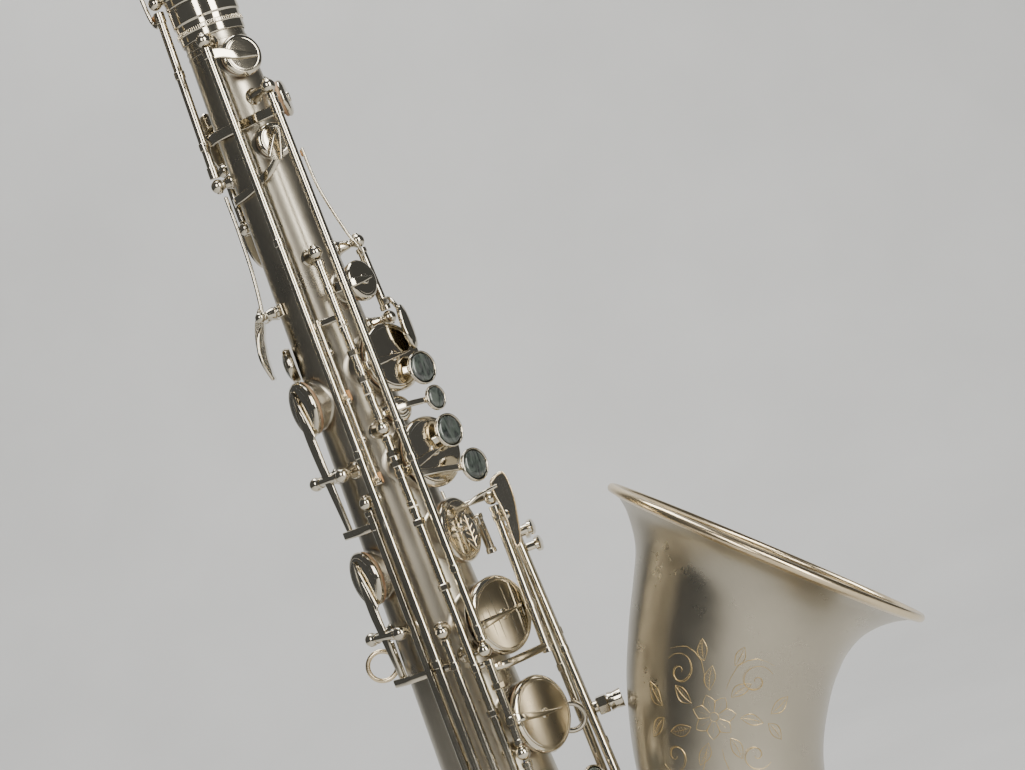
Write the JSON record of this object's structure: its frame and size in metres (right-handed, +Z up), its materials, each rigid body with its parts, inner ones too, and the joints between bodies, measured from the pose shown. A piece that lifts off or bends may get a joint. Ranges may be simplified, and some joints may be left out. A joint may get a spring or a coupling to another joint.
{
  "type": "tenor saxophone",
  "caption": "Tenor saxophone: conical tube folded at a bow into a flared bell, with hinged key work, curved neck, mouthpiece, reed and ligature.",
  "frame": {"origin": "middle of the strap ring's hole, behind the body tube", "axes": "+Z up along the straight body tube towards the neck, +Y forward to the bell, +X to the player's right"},
  "size_m": [0.1624, 0.4548, 0.8026],
  "materials": {
    "satin_nickel": "satin nickel plate over brass sheet",
    "polished_nickel": "polished nickel plate over brass",
    "dark_pearl": "dark mother of pearl, polished",
    "ebonite": "polished hard rubber",
    "cork": "bare cork",
    "cane": "shaved cane"
  },
  "bodies": {
    "horn_body": {"bell": "satin_nickel", "bell_bow_ring": "polished_nickel", "bell_brace": "polished_nickel", "bell_key_guard": "polished_nickel", "body_bow_ring": "polished_nickel", "body_tube": "satin_nickel", "bow": "satin_nickel", "left_table_post": "polished_nickel", "neck_receiver": "polished_nickel", "octave_saddle": "polished_nickel", "palm_d_key_rib": "polished_nickel", "palm_eb_key_rib": "polished_nickel", "palm_f_key_rib": "polished_nickel", "strap_ring": "polished_nickel", "thumb_hook": "polished_nickel", "thumb_rest": "polished_nickel"},
    "front_f_key": {"front_f_key": "polished_nickel"},
    "g_sharp_lever": {"g_sharp_lever": "polished_nickel"},
    "key_a": {"key_a": "polished_nickel", "pearl_a": "dark_pearl"},
    "key_b": {"key_b": "polished_nickel", "pearl_b": "dark_pearl"},
    "key_bis": {"key_bis": "polished_nickel", "pearl_bis": "dark_pearl"},
    "key_c": {"key_c": "polished_nickel"},
    "key_d": {"key_d": "polished_nickel", "pearl_d": "dark_pearl"},
    "key_e": {"key_e": "polished_nickel", "pearl_e": "dark_pearl"},
    "key_f": {"key_f": "polished_nickel", "pearl_f": "dark_pearl"},
    "key_f_sharp": {"key_f_sharp": "polished_nickel"},
    "key_g": {"key_g": "polished_nickel", "pearl_g": "dark_pearl"},
    "key_g_sharp": {"key_g_sharp": "polished_nickel"},
    "mouthpiece": {"ligature": "polished_nickel", "mouthpiece": "ebonite", "reed": "cane"},
    "ligature_screw_back": {"ligature_screw_back": "polished_nickel"},
    "ligature_screw_front": {"ligature_screw_front": "polished_nickel"},
    "low_b_key": {"low_b_key": "polished_nickel"},
    "low_bb_key": {"low_bb_key": "polished_nickel"},
    "low_c_key": {"low_c_key": "polished_nickel"},
    "low_c_sharp_key": {"low_c_sharp_key": "polished_nickel"},
    "low_eb_key": {"low_eb_key": "polished_nickel"},
    "neck_tube": {"neck_cork": "cork", "neck_tube": "satin_nickel"},
    "neck_octave_key": {"neck_octave_key": "polished_nickel"},
    "neck_screw": {"neck_screw": "polished_nickel"},
    "octave_rocker": {"octave_rocker": "polished_nickel"},
    "octave_thumb_key": {"octave_thumb_key": "polished_nickel"},
    "palm_d_key": {"palm_d_key": "polished_nickel"},
    "palm_eb_key": {"palm_eb_key": "polished_nickel"},
    "palm_f_key": {"palm_f_key": "polished_nickel"},
    "side_bb_key": {"side_bb_key": "polished_nickel"},
    "side_bb_lever": {"side_bb_lever": "polished_nickel"},
    "side_c_key": {"side_c_key": "polished_nickel"},
    "side_c_lever": {"side_c_lever": "polished_nickel"},
    "side_e_key": {"side_e_key": "polished_nickel"},
    "stack_link": {"stack_link": "polished_nickel"}
  },
  "joints": [
    {"name": "key_c_hinge", "type": "hinge", "parent": "horn_body", "child": "key_c", "pos_m": [0.0345, 0.0432, 0.0575], "axis": [0.0304, -0.0015, -0.9995], "range_deg": [-8.04, 0], "stiffness_Nm_per_rad": 0.25, "springref_deg": 6.88},
    {"name": "key_b_hinge", "type": "hinge", "parent": "horn_body", "child": "key_b", "pos_m": [0.0345, 0.0432, 0.0575], "axis": [0.0304, -0.0015, -0.9995], "range_deg": [-11.46, 0], "stiffness_Nm_per_rad": 0.25, "springref_deg": 6.88},
    {"name": "key_bis_hinge", "type": "hinge", "parent": "horn_body", "child": "key_bis", "pos_m": [0.0345, 0.0432, 0.0575], "axis": [0.0304, -0.0015, -0.9995], "range_deg": [-6.88, 0], "stiffness_Nm_per_rad": 0.25, "springref_deg": 6.88},
    {"name": "key_a_hinge", "type": "hinge", "parent": "horn_body", "child": "key_a", "pos_m": [0.0345, 0.0432, 0.0575], "axis": [0.0304, -0.0015, -0.9995], "range_deg": [-11.46, 0], "stiffness_Nm_per_rad": 0.25, "springref_deg": 6.88},
    {"name": "stack_link_hinge", "type": "hinge", "parent": "horn_body", "child": "stack_link", "pos_m": [0.0345, 0.0432, 0.0575], "axis": [0.0304, -0.0015, -0.9995], "range_deg": [-8.04, 0], "stiffness_Nm_per_rad": 0.25, "springref_deg": 6.88},
    {"name": "key_g_hinge", "type": "hinge", "parent": "horn_body", "child": "key_g", "pos_m": [0.0327, 0.0509, 0.1345], "axis": [0.0374, -0.0007, -0.9993], "range_deg": [-10.31, 0], "stiffness_Nm_per_rad": 0.6, "springref_deg": 6.88},
    {"name": "key_f_sharp_hinge", "type": "hinge", "parent": "horn_body", "child": "key_f_sharp", "pos_m": [0.04175, 0.0487, -0.112], "axis": [0.0309, -0.0124, -0.9994], "range_deg": [-9.19, 0], "stiffness_Nm_per_rad": 0.6, "springref_deg": 6.88},
    {"name": "key_f_hinge", "type": "hinge", "parent": "horn_body", "child": "key_f", "pos_m": [0.04175, 0.0487, -0.112], "axis": [0.0309, -0.0124, -0.9994], "range_deg": [-9.17, 0], "stiffness_Nm_per_rad": 0.6, "springref_deg": 6.88},
    {"name": "key_e_hinge", "type": "hinge", "parent": "horn_body", "child": "key_e", "pos_m": [0.04175, 0.0487, -0.112], "axis": [0.0309, -0.0124, -0.9994], "range_deg": [-9.17, 0], "stiffness_Nm_per_rad": 0.6, "springref_deg": 6.88},
    {"name": "key_d_hinge", "type": "hinge", "parent": "horn_body", "child": "key_d", "pos_m": [0.04175, 0.0487, -0.112], "axis": [0.0309, -0.0124, -0.9994], "range_deg": [-9.17, 0], "stiffness_Nm_per_rad": 0.6, "springref_deg": 6.88},
    {"name": "side_e_key_hinge", "type": "hinge", "parent": "horn_body", "child": "side_e_key", "pos_m": [0.033, 0.02845, 0.0965], "axis": [0.0295, -0.0096, -0.9995], "range_deg": [0, 11.46], "stiffness_Nm_per_rad": 0.6, "springref_deg": -6.88},
    {"name": "side_c_lever_hinge", "type": "hinge", "parent": "horn_body", "child": "side_c_lever", "pos_m": [0.03195, 0.02215, -0.03], "axis": [0.0279, -0.0103, -0.9996], "range_deg": [0, 11.46], "stiffness_Nm_per_rad": 0.6, "springref_deg": -6.88},
    {"name": "side_bb_lever_hinge", "type": "hinge", "parent": "horn_body", "child": "side_bb_lever", "pos_m": [0.03845, 0.0344, -0.079], "axis": [0.0295, -0.0024, -0.9996], "range_deg": [0, 5.73], "stiffness_Nm_per_rad": 0.6, "springref_deg": -6.88},
    {"name": "side_c_key_hinge", "type": "hinge", "parent": "horn_body", "child": "side_c_key", "pos_m": [0.01552, 0.0099, 0.092], "axis": [0.8387, 0.5446, 0], "range_deg": [0, 8.04], "stiffness_Nm_per_rad": 0.25, "springref_deg": -6.88},
    {"name": "side_bb_key_hinge", "type": "hinge", "parent": "horn_body", "child": "side_bb_key", "pos_m": [0.01733, 0.0081, 0.014], "axis": [0.829, 0.5592, 0], "range_deg": [0, 8.04], "stiffness_Nm_per_rad": 0.25, "springref_deg": -6.88},
    {"name": "palm_d_key_hinge", "type": "hinge", "parent": "horn_body", "child": "palm_d_key", "pos_m": [-0.0143, 0.01412, 0.234], "axis": [-0.0176, -0.0243, -0.9996], "range_deg": [0, 6.88], "stiffness_Nm_per_rad": 0.25, "springref_deg": -6.88},
    {"name": "palm_eb_key_hinge", "type": "hinge", "parent": "horn_body", "child": "palm_eb_key", "pos_m": [-0.01972, 0.0471, 0.266], "axis": [-0.0249, 0.0168, -0.9996], "range_deg": [-11.46, 0], "stiffness_Nm_per_rad": 0.25, "springref_deg": 6.88},
    {"name": "palm_f_key_hinge", "type": "hinge", "parent": "horn_body", "child": "palm_f_key", "pos_m": [-0.02138, 0.02428, 0.28625], "axis": [-0.0274, -0.0122, -0.9996], "range_deg": [-11.46, 0], "stiffness_Nm_per_rad": 0.25, "springref_deg": 6.88},
    {"name": "front_f_key_hinge", "type": "hinge", "parent": "horn_body", "child": "front_f_key", "pos_m": [-0.002, 0.06275, 0.173], "axis": [0, 0.025, -0.9997], "range_deg": [0, 5.73], "stiffness_Nm_per_rad": 0.25, "springref_deg": -6.88},
    {"name": "octave_rocker_hinge", "type": "hinge", "parent": "horn_body", "child": "octave_rocker", "pos_m": [0.001, 0.01185, 0.287], "axis": [0, -0.0393, -0.9992], "range_deg": [-6.9, 0], "stiffness_Nm_per_rad": 0.25, "springref_deg": 6.88},
    {"name": "octave_thumb_key_hinge", "type": "hinge", "parent": "horn_body", "child": "octave_thumb_key", "pos_m": [0, 0.007, 0.175], "axis": [-1, 0, 0], "range_deg": [-5.73, 0], "stiffness_Nm_per_rad": 0.25, "springref_deg": 6.88},
    {"name": "g_sharp_lever_hinge", "type": "hinge", "parent": "horn_body", "child": "g_sharp_lever", "pos_m": [0.0105, 0.0768, 0.016], "axis": [0.0405, -0.0135, -0.9991], "range_deg": [0, 5.73], "stiffness_Nm_per_rad": 0.25, "springref_deg": -6.88},
    {"name": "key_g_sharp_hinge", "type": "hinge", "parent": "horn_body", "child": "key_g_sharp", "pos_m": [-0.004, 0.068, 0.041], "axis": [0, 0.02, -0.9998], "range_deg": [-11.48, 0], "stiffness_Nm_per_rad": 0.25, "springref_deg": 6.88},
    {"name": "low_b_key_hinge", "type": "hinge", "parent": "horn_body", "child": "low_b_key", "pos_m": [0.00925, 0.08555, -0.098], "axis": [0.0852, 0.0284, -0.996], "range_deg": [-9.17, 0], "stiffness_Nm_per_rad": 0.6, "springref_deg": 6.88},
    {"name": "low_bb_key_hinge", "type": "hinge", "parent": "horn_body", "child": "low_bb_key", "pos_m": [0.0011, 0.08515, -0.072], "axis": [0.089, 0.0295, -0.9956], "range_deg": [-9.17, 0], "stiffness_Nm_per_rad": 0.6, "springref_deg": 6.88},
    {"name": "low_c_sharp_key_hinge", "type": "hinge", "parent": "horn_body", "child": "low_c_sharp_key", "pos_m": [-0.00925, 0.0798, -0.108], "axis": [0.0486, 0.0067, -0.9988], "range_deg": [0, 11.46], "stiffness_Nm_per_rad": 0.6, "springref_deg": -6.88},
    {"name": "low_eb_key_hinge", "type": "hinge", "parent": "horn_body", "child": "low_eb_key", "pos_m": [0.034, 0.01255, -0.238], "axis": [0.0423, -0.0127, -0.999], "range_deg": [0, 10.31], "stiffness_Nm_per_rad": 0.6, "springref_deg": -6.88},
    {"name": "low_c_key_hinge", "type": "hinge", "parent": "horn_body", "child": "low_c_key", "pos_m": [0.03475, 0.00355, -0.256], "axis": [0.0176, -0.0106, -0.9998], "range_deg": [-7.22, 0], "stiffness_Nm_per_rad": 0.6, "springref_deg": 6.88},
    {"name": "neck_tube_hinge", "type": "hinge", "parent": "horn_body", "child": "neck_tube", "pos_m": [0, 0.0338, 0.34], "axis": [0, 0, 1], "range_deg": [-20.05, 20.05]},
    {"name": "mouthpiece_slide", "type": "slide", "parent": "neck_tube", "child": "mouthpiece", "axis": [0, -0.87, -0.493], "range_m": [-0.004, 0.004]},
    {"name": "ligature_screw_back_hinge", "type": "hinge", "parent": "mouthpiece", "child": "ligature_screw_back", "pos_m": [0, -0.14538, 0.36223], "axis": [1, 0, 0], "range_deg": [-180, 180]},
    {"name": "ligature_screw_front_hinge", "type": "hinge", "parent": "mouthpiece", "child": "ligature_screw_front", "pos_m": [0, -0.15408, 0.3573], "axis": [1, 0, 0], "range_deg": [-180, 180]},
    {"name": "neck_screw_hinge", "type": "hinge", "parent": "horn_body", "child": "neck_screw", "pos_m": [-0.0215, 0.0338, 0.339], "axis": [0, 1, 0], "range_deg": [-180, 180]},
    {"name": "neck_octave_key_hinge", "type": "hinge", "parent": "neck_tube", "child": "neck_octave_key", "pos_m": [0, -0.0182, 0.4485], "axis": [-1, 0, 0], "range_deg": [0, 3.44], "stiffness_Nm_per_rad": 0.25, "springref_deg": -6.88}
  ],
  "couplings": [
    {"joint": "key_c_hinge", "follows": "key_b_hinge", "ratio": 0.7},
    {"joint": "key_f_sharp_hinge", "follows": "key_f_hinge", "ratio": 1},
    {"joint": "stack_link_hinge", "follows": "key_f_hinge", "ratio": 0.875},
    {"joint": "key_g_sharp_hinge", "follows": "g_sharp_lever_hinge", "ratio": -2},
    {"joint": "side_c_key_hinge", "follows": "side_c_lever_hinge", "ratio": 0.7},
    {"joint": "side_bb_key_hinge", "follows": "side_bb_lever_hinge", "ratio": 1.4},
    {"joint": "octave_rocker_hinge", "follows": "octave_thumb_key_hinge", "ratio": 1.2}
  ]
}
